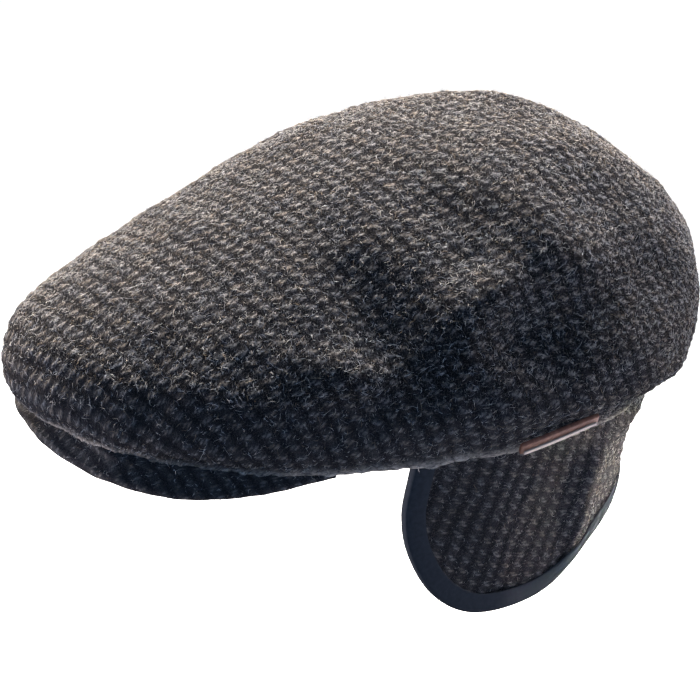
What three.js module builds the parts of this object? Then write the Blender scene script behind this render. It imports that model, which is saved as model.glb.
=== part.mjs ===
// A soft tweed flat cap with its ear flaps let down, at the size of a large adult head.
// Millimetres, +Z up. The peak points to -Y and the wearer's left is +X.
// The origin is the middle of the head opening, in the plane of the rim.

import * as THREE from "three";

// Cloth and clearances
const CROWN_CLOTH = 2;        // thickness of the crown's tweed with its backing
const FLAP_CLOTH = 2.4;       // two layers of tweed sewn back to back
const PEAK_THICKNESS = 3;     // stiffened peak with tweed on both faces
const SEAM_GAP = 0.3;         // clearance kept between pieces that are sewn together

// Crown: one row for each section from the rim to the top. A section is an egg-shaped
// oval whose front end and back end have their own heights. Droop lowers its front corners,
// and sag lowers its sides.
const CROWN_SECTIONS = [
  { name: "hem", front: -159, back: 112, half: 86, frontZ: 1.7, backZ: 9, egg: 0.08, droop: 2.6, sag: 5 },
  { name: "tuck", front: -170, back: 119, half: 95.5, frontZ: 11, backZ: 15.7, egg: 0.1, droop: 5.6, sag: 0 },
  { name: "bulge", front: -170.5, back: 121.5, half: 101.5, frontZ: 24, backZ: 26, egg: 0.17, droop: -1, sag: 0 },
  { name: "shoulder", front: -159, back: 119, half: 100, frontZ: 39, backZ: 60.5, egg: 0.12, droop: 8.5, sag: 0 },
  { name: "upper", front: -117, back: 97.5, half: 85.5, frontZ: 59.5, backZ: 86, egg: 0.13, droop: 1.6, sag: 0 },
  { name: "crest", front: -65.5, back: 66, half: 55, frontZ: 86, backZ: 105, egg: 0.03, droop: -0.8, sag: 0 },
  { name: "top", front: -27, back: 39, half: 24, frontZ: 103, backZ: 113.3, egg: 0, droop: 0, sag: 0 },
  { name: "apex", front: 9, back: 9, half: 0, frontZ: 111.2, backZ: 111.2, egg: 0, droop: 0, sag: 0 },
];
const CROWN_BEARINGS = 64;
const CROWN_LEVELS = 22;

// Crown folds: one row for each dent (minus rise) or bump (plus rise) in the soft cloth.
// A fold lies at a place on the crown and runs along a direction, with a length and a width.
const CROWN_FOLDS = [
  { name: "temple valley", at: [75, -64, 60], along: [0.6, 0.28, -0.75], length: 30, width: 16, rise: -6.6 },
  { name: "valley foot", at: [93, -60.1, 41.1], along: [0.23, 0.97, -0.07], length: 39, width: 19.5, rise: -8.6 },
  { name: "temple bump", at: [84.3, -76.8, 42.9], along: [0.49, 0.87, 0.04], length: 23.5, width: 9.5, rise: 3.6 },
  { name: "crown ridge", at: [61.3, -0.8, 91.8], along: [0.78, 0.24, -0.58], length: 24, width: 13.5, rise: 4.3 },
  { name: "side ridge", at: [87.5, -29.4, 64.5], along: [-0.26, 0.9, 0.35], length: 17.5, width: 10.5, rise: 6 },
  { name: "side hollow", at: [94.6, 21.3, 63.7], along: [0.02, 1, 0.01], length: 20, width: 15.5, rise: -5.8 },
  { name: "back ridge", at: [76, 18.8, 83.9], along: [0.89, 0.18, -0.43], length: 46, width: 16, rise: 4.1 },
  { name: "back hollow", at: [84.1, 53.7, 69.1], along: [-0.11, -0.19, -0.98], length: 15.5, width: 24, rise: -4.7 },
  { name: "lower hollow", at: [100.6, -10.3, 50.4], along: [-0.03, 0.81, -0.58], length: 28.5, width: 16.5, rise: -8.6 },
  { name: "front tuck", at: [52.5, -134.4, 35.4], along: [0.91, 0.41, 0.03], length: 46.5, width: 20.5, rise: -3.6 },
  { name: "top edge", at: [36, 30, 105.8], along: [0, 0.99, -0.12], length: 40, width: 20, rise: 4.8 },
  { name: "far valley", at: [-84, -56, 50], along: [-0.75, 0.3, -0.6], length: 22, width: 14, rise: -3.9 },
  { name: "far hollow", at: [-95.9, 13.7, 62.2], along: [-0.3, 0.9, -0.3], length: 26, width: 16, rise: -3.6 },
];

// Peak: how far its edge stands out past the crown's hem and drops below it, by bearing.
const PEAK_EDGE = [
  { bearing: 0, out: -1.7, drop: 7.2 },
  { bearing: 13.5, out: -0.6, drop: 7.5 },
  { bearing: 27, out: 6.6, drop: 5.8 },
  { bearing: 40.5, out: 8, drop: 5.7 },
  { bearing: 54, out: 4.4, drop: 2.6 },
  { bearing: 67.5, out: -4.5, drop: 0 },
];
const PEAK_REACH = 67.5;        // bearing of the peak's corners, degrees from the front
const PEAK_BROW_Y = -95;        // middle of the peak's inner edge, at the forehead
const PEAK_BROW_Z = 4;          // height of that middle above the rim
const PEAK_CORNER = { x: 72, y: -68 };
const PEAK_STEPS = 36;

// Ear flap: one strip from temple to temple round the nape. Each row joins a place on the
// hidden root to a place on the free edge; both are measured along the rim from the nape.
const FLAP_EDGE = [
  { root: 189, along: 192, depth: -11 },
  { root: 187, along: 193.5, depth: 8 },
  { root: 183, along: 193.5, depth: 24 },
  { root: 176, along: 188, depth: 41 },
  { root: 165, along: 175, depth: 59 },
  { root: 150, along: 157, depth: 70 },
  { root: 131, along: 135, depth: 72.5 },
  { root: 108, along: 110, depth: 67.8 },
  { root: 87, along: 88, depth: 56 },
  { root: 64, along: 64, depth: 49.5 },
  { root: 32, along: 32, depth: 46 },
  { root: 0, along: 0, depth: 45 },
];
const FLAP_ROOT_DEPTH = -16;    // the root is sewn this far up inside the crown
const FLAP_INSET = 3.6;         // outer face of the flap, inside the hem line
const FLAP_LEAN = 5.5;            // degrees the flap leans in towards the neck
const FLAP_ROLL = { rise: 2.6, depth: 6, width: 7, reach: 105 };
const FLAP_CREASE = { rise: 2.8, along: 84, width: 14, start: 6, full: 26 };
const FLAP_STEPS = 96;
const FLAP_ROWS = [0, 0.14, 0.21, 0.3, 0.5, 0.75, 1];

// Binding tape folded over the flap's free edge
const TAPE_WIDTH = 8;
const TAPE_THICKNESS = 0.8;
const TAPE_STEPS = 96;

// Label on the crown's left side, along the hem: a leather patch with a bare plate on its lower
// half. It is sewn at its top edge and its lower edge stands off the crown.
const LABEL_BEARING = 105.1;                          // degrees from the front
const LABEL_LEVEL = 0.77;                             // counted in crown sections
const LABEL_TURN = { bearing: 6.7, level: 0.36 };     // change over half the patch length
const LABEL_LEVEL_PER_MM = 0.051;
const LABEL_TILT = 0.35;                              // mm of standing off per mm down the patch
const PATCH = { length: 34.5, height: 4.2, thickness: 1.4, drop: 0 };
const PLATE = { length: 32, height: 1.5, thickness: 0.6, drop: 1.1 };

// Colours
const TWEED = { color: 0x3b3a3d, roughness: 0.95, metalness: 0 };
const TAPE = { color: 0x17181d, roughness: 0.85, metalness: 0 };
const LEATHER = { color: 0x4f3524, roughness: 0.6, metalness: 0 };
const METAL = { color: 0xb9b7b2, roughness: 0.35, metalness: 0.9 };

// A smooth value that follows one column of a table, from 0 at its first row to 1 at its last
function track(rows, column) {
  const curve = new THREE.SplineCurve(rows.map((row, index) => new THREE.Vector2(index, row[column])));
  return (share) => curve.getPoint(share).y;
}

// A table whose last row is the middle, carried on to its mirror image on the other side
function mirrored(rows, column) {
  const far = rows.slice(0, -1).reverse();
  return [...rows, ...far.map((row) => ({ ...row, [column]: -row[column] }))];
}

// One closed body through a row of closed rings, with its two ends filled
function bodyThrough(rings, startCap, endCap) {
  const corners = [];
  const place = (...ends) => ends.forEach((end) => corners.push(end.x, end.y, end.z));
  const count = rings[0].length;
  for (let row = 0; row + 1 < rings.length; row += 1) {
    for (let step = 0; step < count; step += 1) {
      const next = (step + 1) % count;
      const [a, b] = [rings[row][step], rings[row][next]];
      const [c, d] = [rings[row + 1][step], rings[row + 1][next]];
      place(a, b, c);
      place(b, d, c);
    }
  }
  startCap(rings[0]).forEach(([a, b, c]) => place(a, c, b));
  endCap(rings[rings.length - 1]).forEach(([a, b, c]) => place(a, b, c));
  const geometry = new THREE.BufferGeometry();
  geometry.setAttribute("position", new THREE.Float32BufferAttribute(corners, 3));
  geometry.computeVertexNormals();
  return geometry;
}

// An end closed by triangles that meet in one point
function fanTo(point) {
  return (ring) => ring.map((corner, step) => [corner, ring[(step + 1) % ring.length], point]);
}

// An end closed by the triangles of a flat section
function sectionCap(section) {
  const triangles = THREE.ShapeUtils.triangulateShape(section, []);
  return (ring) => triangles.map((corners) => corners.map((index) => ring[index]));
}

function middleOf(ring) {
  const sum = ring.reduce((total, corner) => total.add(corner), new THREE.Vector3());
  return sum.divideScalar(ring.length);
}

// Crown surface
const crownTracks = Object.fromEntries(
  ["front", "back", "half", "frontZ", "backZ", "egg", "droop", "sag"]
    .map((column) => [column, track(CROWN_SECTIONS, column)]),
);
const TOP_LEVEL = CROWN_SECTIONS.length - 1;

// A point of the smooth crown: the bearing goes round from the front by the wearer's left
function smoothCrown(bearing, level) {
  const at = (column) => crownTracks[column](level / TOP_LEVEL);
  const ahead = Math.cos(bearing);
  const aside = Math.sin(bearing);
  const y = (at("front") + at("back")) / 2 - (at("back") - at("front")) / 2 * ahead;
  const x = at("half") * aside * (1 - at("egg") * ahead);
  const slope = at("frontZ") + (at("backZ") - at("frontZ")) * (1 - ahead) / 2;
  const lowered = (2 * at("droop") * Math.max(ahead, 0) + at("sag")) * aside * aside;
  return new THREE.Vector3(x, y, slope - lowered);
}

// Outward direction of the smooth crown
function crownOutward(bearing, level) {
  const nudge = 0.01;
  const low = Math.max(level - nudge, 0);
  const high = Math.min(level + nudge, TOP_LEVEL - 0.02);
  const round = smoothCrown(bearing + nudge, Math.min(level, high));
  round.sub(smoothCrown(bearing - nudge, Math.min(level, high)));
  const rise = smoothCrown(bearing, high).sub(smoothCrown(bearing, Math.min(low, high - nudge)));
  return round.cross(rise).normalize();
}

// How far the folds push the cloth out at a point
function foldRise(point) {
  let rise = 0;
  for (const fold of CROWN_FOLDS) {
    const offset = point.clone().sub(new THREE.Vector3(...fold.at));
    const run = offset.dot(new THREE.Vector3(...fold.along).normalize());
    const across = offset.lengthSq() - run * run;
    rise += fold.rise * Math.exp(-((run / fold.length) ** 2) - across / fold.width ** 2);
  }
  return rise;
}

// A point on the folded crown, moved outward by a distance
function crown(bearing, level, outward) {
  const point = smoothCrown(bearing, level);
  const direction = crownOutward(bearing, level);
  return point.addScaledVector(direction, foldRise(point) + outward);
}

function crownGeometry() {
  const levels = [];
  for (let step = 0; step < CROWN_LEVELS; step += 1) {
    levels.push(TOP_LEVEL * (step / CROWN_LEVELS));
  }
  const ringAt = (level, outward) => {
    const ring = [];
    for (let step = 0; step < CROWN_BEARINGS; step += 1) {
      ring.push(crown((2 * Math.PI * step) / CROWN_BEARINGS, level, outward));
    }
    return ring;
  };
  const outer = levels.map((level) => ringAt(level, 0));
  const inner = levels.map((level) => ringAt(level, -CROWN_CLOTH));
  const apex = smoothCrown(0, TOP_LEVEL);
  const innerApex = apex.clone().setZ(apex.z - CROWN_CLOTH);
  return bodyThrough([...inner.reverse(), ...outer], fanTo(innerApex), fanTo(apex));
}

// Peak: a crescent from the forehead, under the crown's hem, to its own drooping edge
const peakRows = mirrored([...PEAK_EDGE].reverse(), "bearing");
const peakOut = track(peakRows, "out");
const peakDrop = track(peakRows, "drop");

function hemOutward(bearing) {
  const nudge = 0.01;
  const round = smoothCrown(bearing + nudge, 0).sub(smoothCrown(bearing - nudge, 0));
  return new THREE.Vector3(round.y, -round.x, 0).normalize();
}

function peakSection(share) {
  const reach = THREE.MathUtils.degToRad(PEAK_REACH);
  const bearing = reach * (2 * share - 1);
  const hem = smoothCrown(bearing, 0);
  const outward = hemOutward(bearing);
  const out = peakOut(share);
  const back = (1 - Math.cos(bearing)) / (1 - Math.cos(reach));
  const brow = new THREE.Vector3(
    PEAK_CORNER.x * Math.sin(bearing) / Math.sin(reach),
    THREE.MathUtils.lerp(PEAK_BROW_Y, PEAK_CORNER.y, back),
    THREE.MathUtils.lerp(PEAK_BROW_Z, 0, back),
  );
  const drop = peakDrop(share);
  const under = hem.clone().addScaledVector(outward, Math.min(0, out - 1 - drop));
  under.z -= SEAM_GAP + 0.2;
  const edge = hem.clone().addScaledVector(outward, out);
  edge.z -= SEAM_GAP + 0.2 + drop;
  const top = [0, 0.34, 0.67].map((part) => brow.clone().lerp(under, part));
  top.push(under, under.clone().lerp(edge, 0.5), edge);
  const bottom = top.map((point) => point.clone().setZ(point.z - PEAK_THICKNESS)).reverse();
  const nose = edge.clone().addScaledVector(outward, 0.7);
  nose.z -= PEAK_THICKNESS / 2;
  return [...top, nose, ...bottom];
}

function peakGeometry() {
  const rings = [];
  for (let step = 0; step <= PEAK_STEPS; step += 1) {
    rings.push(peakSection(step / PEAK_STEPS));
  }
  return bodyThrough(rings, fanTo(middleOf(rings[0])), fanTo(middleOf(rings[PEAK_STEPS])));
}

// Flap wall: places on it are measured along the rim from the nape, down from the rim and out
class RimLine extends THREE.Curve {
  getPoint(share, target = new THREE.Vector3()) {
    const hem = CROWN_SECTIONS[0];
    const bearing = 2 * Math.PI * share;
    const ahead = Math.cos(bearing);
    const front = hem.front + FLAP_INSET;
    const back = hem.back - FLAP_INSET;
    const x = (hem.half - FLAP_INSET) * Math.sin(bearing) * (1 - hem.egg * ahead);
    return target.set(x, (front + back) / 2 - (back - front) / 2 * ahead, 0);
  }
}
const rimLine = new RimLine();
rimLine.arcLengthDivisions = 600;
const rimLength = rimLine.getLength();

function flapWall(along, depth, outward) {
  const share = 0.5 - along / rimLength;
  const point = rimLine.getPointAt(share);
  const tangent = rimLine.getTangentAt(share);
  const out = new THREE.Vector3(tangent.y, -tangent.x, 0);
  const lean = THREE.MathUtils.degToRad(FLAP_LEAN);
  const rear = 1 - THREE.MathUtils.smoothstep(Math.abs(along), FLAP_ROLL.reach - 30, FLAP_ROLL.reach);
  const roll = FLAP_ROLL.rise * rear * Math.exp(-(((depth - FLAP_ROLL.depth) / FLAP_ROLL.width) ** 2));
  const below = THREE.MathUtils.smoothstep(depth, FLAP_CREASE.start, FLAP_CREASE.full);
  const bend = (Math.abs(along) - FLAP_CREASE.along) / FLAP_CREASE.width;
  const crease = FLAP_CREASE.rise * below * Math.exp(-(bend ** 2));
  point.addScaledVector(out, outward + roll + crease - depth * Math.sin(lean));
  point.z -= depth * Math.cos(lean);
  return point;
}

// The flap's pattern laid flat: root line and free edge, from the left temple to the right one
const flapRows = mirrored(FLAP_EDGE, "along");
const rootRows = mirrored(FLAP_EDGE, "root");
const flapEdge = new THREE.SplineCurve(flapRows.map((row) => new THREE.Vector2(row.along, row.depth)));
const flapRoot = track(rootRows, "root");

function flapGeometry() {
  const rings = [];
  for (let step = 0; step <= FLAP_STEPS; step += 1) {
    const share = step / FLAP_STEPS;
    const root = new THREE.Vector2(flapRoot(share), FLAP_ROOT_DEPTH);
    const line = FLAP_ROWS.map((part) => root.clone().lerp(flapEdge.getPoint(share), part));
    const outer = line.map((place) => flapWall(place.x, place.y, 0));
    const inner = line.map((place) => flapWall(place.x, place.y, -FLAP_CLOTH));
    rings.push([...outer, ...inner.reverse()]);
  }
  return bodyThrough(rings, fanTo(middleOf(rings[0])), fanTo(middleOf(rings[FLAP_STEPS])));
}

// Binding: the tape's section as distance in from the flap's edge and height off its outer face
function tapeSection() {
  const face = SEAM_GAP + TAPE_THICKNESS;
  const back = -FLAP_CLOTH;
  return [
    [TAPE_WIDTH, face],
    [0, face],
    [-face, back / 2 + 0.8],
    [-face, back / 2 - 0.8],
    [0, back - face],
    [TAPE_WIDTH, back - face],
    [TAPE_WIDTH, back - SEAM_GAP],
    [0, back - SEAM_GAP],
    [-SEAM_GAP, back],
    [-SEAM_GAP, 0],
    [0, SEAM_GAP],
    [TAPE_WIDTH, SEAM_GAP],
  ].map(([inward, height]) => new THREE.Vector2(inward, height));
}

function bindingGeometry() {
  const section = tapeSection();
  const rings = [];
  for (let step = 0; step <= TAPE_STEPS; step += 1) {
    const share = 0.004 + 0.992 * (step / TAPE_STEPS);
    const edge = flapEdge.getPoint(share);
    const run = flapEdge.getTangent(share);
    const inward = new THREE.Vector2(-run.y, run.x);
    rings.push(section.map((corner) => {
      const place = edge.clone().addScaledVector(inward, corner.x);
      return flapWall(place.x, place.y, corner.y);
    }));
  }
  return bodyThrough(rings, sectionCap(section), sectionCap(section));
}

// Label pieces follow the crown's surface along its hem, tilted away from it
function labelGeometry(piece, lift) {
  const columns = 10;
  const rows = 3;
  const rings = [];
  for (let column = 0; column <= columns; column += 1) {
    const along = piece.length * (column / columns - 0.5);
    const turn = along / (PATCH.length / 2);
    const bearing = THREE.MathUtils.degToRad(LABEL_BEARING + LABEL_TURN.bearing * turn);
    const middle = LABEL_LEVEL + LABEL_TURN.level * turn;
    const line = (height) => {
      const points = [];
      for (let row = 0; row <= rows; row += 1) {
        const up = piece.height * (row / rows - 0.5) - piece.drop;
        const off = LABEL_TILT * (PATCH.height / 2 - up);
        points.push(crown(bearing, middle + up * LABEL_LEVEL_PER_MM, height + off));
      }
      return points;
    };
    rings.push([...line(lift), ...line(lift + piece.thickness).reverse()]);
  }
  return bodyThrough(rings, fanTo(middleOf(rings[0])), fanTo(middleOf(rings[columns])));
}

function piece(name, geometry, finish) {
  const mesh = new THREE.Mesh(geometry, new THREE.MeshStandardMaterial(finish));
  mesh.name = name;
  return mesh;
}

const cap = new THREE.Group();
cap.add(piece("crown", crownGeometry(), TWEED));
cap.add(piece("peak", peakGeometry(), TWEED));
cap.add(piece("ear_flap", flapGeometry(), TWEED));
cap.add(piece("flap_binding", bindingGeometry(), TAPE));
cap.add(piece("label_patch", labelGeometry(PATCH, SEAM_GAP), LEATHER));
cap.add(piece("label_plate", labelGeometry(PLATE, 2 * SEAM_GAP + PATCH.thickness), METAL));

export default cap;
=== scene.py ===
import math

import bpy
import numpy as np
from mathutils import Matrix, Vector


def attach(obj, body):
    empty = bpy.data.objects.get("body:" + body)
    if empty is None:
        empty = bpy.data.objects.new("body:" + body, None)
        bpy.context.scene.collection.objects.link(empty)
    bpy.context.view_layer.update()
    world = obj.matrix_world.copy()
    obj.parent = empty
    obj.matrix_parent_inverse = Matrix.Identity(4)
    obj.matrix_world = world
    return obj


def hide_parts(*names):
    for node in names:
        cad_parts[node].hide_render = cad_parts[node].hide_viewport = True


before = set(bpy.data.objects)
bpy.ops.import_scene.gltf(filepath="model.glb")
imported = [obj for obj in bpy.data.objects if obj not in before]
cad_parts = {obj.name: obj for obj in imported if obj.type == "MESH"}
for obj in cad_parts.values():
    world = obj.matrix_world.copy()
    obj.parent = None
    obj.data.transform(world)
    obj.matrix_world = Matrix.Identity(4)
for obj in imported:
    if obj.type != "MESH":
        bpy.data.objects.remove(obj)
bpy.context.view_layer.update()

scene = bpy.context.scene
chance = np.random.default_rng(53)

# Crown
# The soft top of the cap: one wall of wool tweed that bulges over the rim, blocked to shape and
# dented by handling. Its hem is turned under and sewn, and the peak and the flap hang below it.

MM = 0.001
CROWN_CLOTH = 2.0
CROWN_SECTIONS = np.array([
    # front, back, half width, front height, back height, egg, droop of the front corners, sag of the sides
    [-159, 112, 86, 1.7, 9, 0.08, 2.6, 5],         # hem
    [-170, 119, 95.5, 11, 15.7, 0.10, 5.6, 0],     # tuck
    [-170.5, 121.5, 101.5, 24, 26, 0.17, -1, 0],   # bulge
    [-159, 119, 100, 39, 60.5, 0.12, 8.5, 0],      # shoulder
    [-117, 97.5, 85.5, 59.5, 86, 0.13, 1.6, 0],    # upper
    [-65.5, 66, 55, 86, 105, 0.03, -0.8, 0],       # crest
    [-27, 39, 24, 103, 113.3, 0, 0, 0],            # top
    [9, 9, 0, 111.2, 111.2, 0, 0, 0],              # apex
])
TOP_LEVEL = len(CROWN_SECTIONS) - 1
CROWN_FOLDS = [
    # place, direction, length, width, rise; fitted to the near side's light and shade, the far two guessed
    ((77.4, -63.4, 57.8), (0.75, 0.2, -0.63), 32, 13.7, -8.7),      # temple valley
    ((89.4, -60.7, 31.5), (0.11, 0.99, -0.02), 36.6, 23, -8.7),     # valley foot
    ((84.9, -75.7, 42.6), (0.6, 0.79, 0.15), 21.6, 9.8, 6.3),       # temple bump
    ((68.9, -4.9, 85.1), (0.75, 0.33, -0.57), 22.5, 14, 7.5),       # crown ridge
    ((88, -24.9, 65.2), (-0.14, 0.92, 0.36), 20.3, 11.3, 8.2),      # side ridge
    ((95.5, 20.1, 63.3), (-0.09, 0.99, 0.09), 23.4, 13.5, -8),      # side hollow
    ((74.8, 13.8, 82.3), (0.86, 0.26, -0.43), 47, 18, 6),           # back ridge
    ((82.8, 57.2, 68.1), (-0.03, -0.39, -0.92), 15.2, 26, -4.8),    # back hollow
    ((100.2, -9.6, 53), (-0.16, 0.82, -0.55), 27.8, 15.2, -10.1),   # lower hollow
    ((49, -145.8, 35.7), (0.96, 0.27, -0.04), 52, 19.3, -4.3),      # front tuck
    ((41.4, 32.8, 96.7), (-0.04, 0.95, -0.3), 46, 19, 5.2),         # top edge
    ((-84, -56, 50), (-0.75, 0.3, -0.6), 22, 14, -2.2),             # far valley
    ((-95.9, 13.7, 62.2), (-0.3, 0.9, -0.3), 26, 16, -3.6),         # far hollow
    ((61.2, -21.2, 91.5), (0.56, 0.75, -0.34), 21, 12, -3.2),       # ridge hollow
    ((93.5, 38.5, 77), (0.61, 0.42, -0.67), 28, 8.8, 2.2),          # back crease
]


def follow(rows, place):
    """Smooth values through the rows of a table: place 0 is its first row, 1 the next."""
    place = np.asarray(place, float)
    last = len(rows) - 1
    row = np.clip(np.floor(place).astype(int), 0, last)
    part = (place - row)[..., None]
    before, here = rows[np.maximum(row - 1, 0)], rows[row]
    after, beyond = rows[np.minimum(row + 1, last)], rows[np.minimum(row + 2, last)]
    leave, arrive = (after - before) / 2, (beyond - here) / 2
    cubic = 2 * here - 2 * after + leave + arrive
    square = 3 * after - 3 * here - 2 * leave - arrive
    return ((cubic * part + square) * part + leave) * part + here


def unit(vectors):
    return vectors / np.linalg.norm(vectors, axis=-1, keepdims=True)


def run_length(points):
    """Distance along lines of points, from the first point of each line."""
    steps = np.linalg.norm(np.diff(points, axis=-2), axis=-1)
    return np.concatenate([np.zeros_like(steps[..., :1]), np.cumsum(steps, -1)], -1)


def smooth_step(value, low, high):
    part = np.clip((value - low) / (high - low), 0, 1)
    return part * part * (3 - 2 * part)


def smooth_crown(bearing, level):
    """Points of the crown before it is dented. The bearing goes round from the front by the left."""
    section = np.moveaxis(follow(CROWN_SECTIONS, level), -1, 0)
    front, back, half, front_z, back_z, egg, droop, sag = section
    ahead, aside = np.cos(bearing), np.sin(bearing)
    x = half * aside * (1 - egg * ahead)
    y = (front + back) / 2 - (back - front) / 2 * ahead
    slope = front_z + (back_z - front_z) * (1 - ahead) / 2
    z = slope - (2 * droop * np.maximum(ahead, 0) + sag) * aside ** 2
    return np.stack([x, y, z], -1)


# A small step, to find which way a line or a wall runs
NUDGE = 0.01


def crown_outward(bearing, level):
    """Directions straight out of the crown before it is dented."""
    high = np.minimum(level + NUDGE, TOP_LEVEL - 2 * NUDGE)
    low = np.minimum(np.maximum(level - NUDGE, 0), high - NUDGE)
    middle = np.minimum(level, high)
    ring = smooth_crown(bearing + NUDGE, middle) - smooth_crown(bearing - NUDGE, middle)
    rise = smooth_crown(bearing, high) - smooth_crown(bearing, low)
    return unit(np.cross(ring, rise))


def fold_rise(points):
    """How far the folds lift the cloth at points of the crown. A dent lifts it by less than nothing."""
    rise = np.zeros(points.shape[:-1])
    for place, along, length, width, height in CROWN_FOLDS:
        offset = points - np.array(place, float)
        run = offset @ unit(np.array(along, float))
        across = (offset ** 2).sum(-1) - run ** 2
        rise += height * np.exp(-(run / length) ** 2 - across / width ** 2)
    return rise


def crown(bearing, level, out):
    """Points of the dented crown, at a distance out from its face."""
    points = smooth_crown(bearing, level)
    push = fold_rise(points) + out
    return points + crown_outward(bearing, level) * push[..., None]


WAVE_STRETCH = (0.6, 1.5)


def lumps(points, wave, rise, count=14):
    """The slight unevenness of handled cloth: many small waves that run in all directions."""
    directions = unit(chance.normal(size=(count, 3)))
    stretches = chance.uniform(*WAVE_STRETCH, count)
    starts = chance.uniform(0, 2 * math.pi, count)
    total = np.zeros(points.shape[:-1])
    for direction, stretch, start in zip(directions, stretches, starts):
        total += np.sin(points @ direction * 2 * math.pi / (wave * stretch) + start)
    return total * rise / math.sqrt(count / 2)


def cloth_mesh(name, grid, flat, ends=()):
    """A mesh from rows of points in mm, each joined end to start, with its place on the flat cloth as its
    UV map in mm. ends are the points that close the first and last row, with their own places."""
    rows, columns = grid.shape[:2]
    index = np.arange(rows * columns).reshape(rows, columns)
    index = np.concatenate([index, index[:, :1]], 1)
    quads = np.stack([index[:-1, :-1], index[:-1, 1:], index[1:, 1:], index[1:, :-1]], -1).reshape(-1, 4)
    points = grid.reshape(-1, 3)
    places = flat.reshape(-1, 2)
    faces = quads.tolist()
    for ring, turn, (point, place) in zip((index[0], index[-1]), (-1, 1), ends):
        points = np.vstack([points, point])
        places = np.vstack([places, place])
        hub = len(points) - 1
        sides = zip(ring[:-1].tolist(), ring[1:].tolist())
        faces += [[first, second, hub][::turn] for first, second in sides]
    mesh = bpy.data.meshes.new(name)
    mesh.from_pydata((points * MM).tolist(), [], faces)
    corner = np.empty(len(mesh.loops), np.int32)
    mesh.loops.foreach_get("vertex_index", corner)
    cloth = mesh.uv_layers.new(name="cloth")
    cloth.data.foreach_set("uv", places[corner].astype(np.float32).ravel())
    mesh.shade_smooth()
    piece = bpy.data.objects.new(name, mesh)
    scene.collection.objects.link(piece)
    return piece


# Height in mm of the dome's top, which is laid flat without much stretch
TOP_ABOVE = 70


def lay_flat(grid):
    """Places in mm of a dome's points on flat cloth: a copy is unwrapped with the least stretch, and
    turned until the cap's length, seen on the dome's top, lies along the first axis."""
    copy = cloth_mesh("laid_flat", grid, grid[..., :2])
    bpy.context.view_layer.objects.active = copy
    copy.select_set(True)
    bpy.ops.object.mode_set(mode="EDIT")
    bpy.ops.mesh.select_all(action="SELECT")
    bpy.ops.uv.unwrap(method="MINIMUM_STRETCH", iterations=12)
    bpy.ops.object.mode_set(mode="OBJECT")
    mesh = copy.data
    corner = np.empty(len(mesh.loops), np.int32)
    mesh.loops.foreach_get("vertex_index", corner)
    found = np.empty(len(mesh.loops) * 2, np.float32)
    mesh.uv_layers["cloth"].data.foreach_get("uv", found)
    places = np.empty(len(mesh.vertices), complex)
    places[corner] = found[::2] + 1j * found[1::2]
    bpy.data.objects.remove(copy)
    bpy.data.meshes.remove(mesh)
    wanted = (grid[..., 1] + 1j * grid[..., 0]).ravel()
    upper = grid[..., 2].ravel() > TOP_ABOVE
    fits = []
    for guess in (places, places.conj()):
        table = np.stack([guess, np.ones_like(guess)], 1)
        laid = table @ np.linalg.lstsq(table[upper], wanted[upper], rcond=None)[0]
        fits.append((np.abs(laid - wanted)[upper].mean(), laid))
    return min(fits, key=lambda fit: fit[0])[1].reshape(grid.shape[:2])


def finer(rows, times):
    """Rows of values that go right round, with the same waves and more values in each row."""
    waves = np.fft.fftshift(np.fft.fft(rows, axis=1), 1)
    more = rows.shape[1] * (times - 1) // 2
    waves = np.fft.fftshift(np.pad(waves, ((0, 0), (more, more))), 1)
    return np.fft.ifft(waves, axis=1) * times


BEARINGS = 600
LEVELS = 140
SIDE_STEPS = 2001
bearings = np.arange(BEARINGS) * 2 * math.pi / BEARINGS
side_levels = np.linspace(0, TOP_LEVEL, SIDE_STEPS)
side_reach = run_length(smooth_crown(np.full_like(side_levels, math.pi / 2), side_levels))
spread = np.linspace(0, side_reach[-1], LEVELS + 1)[:-1]
levels = np.interp(spread, side_reach, side_levels)
turn, height = np.meshgrid(bearings, levels)
apex = smooth_crown(0.0, float(TOP_LEVEL))

# The cloth is laid flat on a coarse net first, because unwrapping the fine one takes long
COARSE_LEVELS = 36
COARSE_STEP = 6
coarse_levels = np.interp(np.linspace(0, spread[-1], COARSE_LEVELS), side_reach, side_levels)
coarse_turn, coarse_height = np.meshgrid(bearings[::COARSE_STEP], coarse_levels)
coarse = finer(lay_flat(crown(coarse_turn, coarse_height, np.zeros_like(coarse_turn))), COARSE_STEP)
coarse = np.stack([coarse.real, coarse.imag], -1).reshape(COARSE_LEVELS, -1)
flat = follow(coarse, np.linspace(0, COARSE_LEVELS - 1, LEVELS)).reshape(LEVELS, BEARINGS, 2)

# The weave's lie on the flat cloth, which was pulled askew when the crown was blocked. It was fitted to
# the threads on the near side: powers of the place along and across, in parts of the span, and the cells
# of the weave that they add along and across
THREADS = [
    (0, 1, -1.6, -24.4),
    (0, 2, -9.7, -6.3),
    (0, 3, 3.4, 5.5),
    (1, 0, 26.1, -1.6),
    (1, 1, -2.9, -5.3),
    (1, 2, -5.7, -0.9),
    (2, 0, -2.4, -4.5),
    (2, 1, -2.1, -5.3),
    (3, 0, -2.8, -4.4),
]
THREAD_SPAN = (150, 130)
NEAR_ALONG = (-1.25, 0.45)
NEAR_ACROSS = (-0.1, 1.2)
PITCH = np.array([5.9, 5.2])


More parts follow.
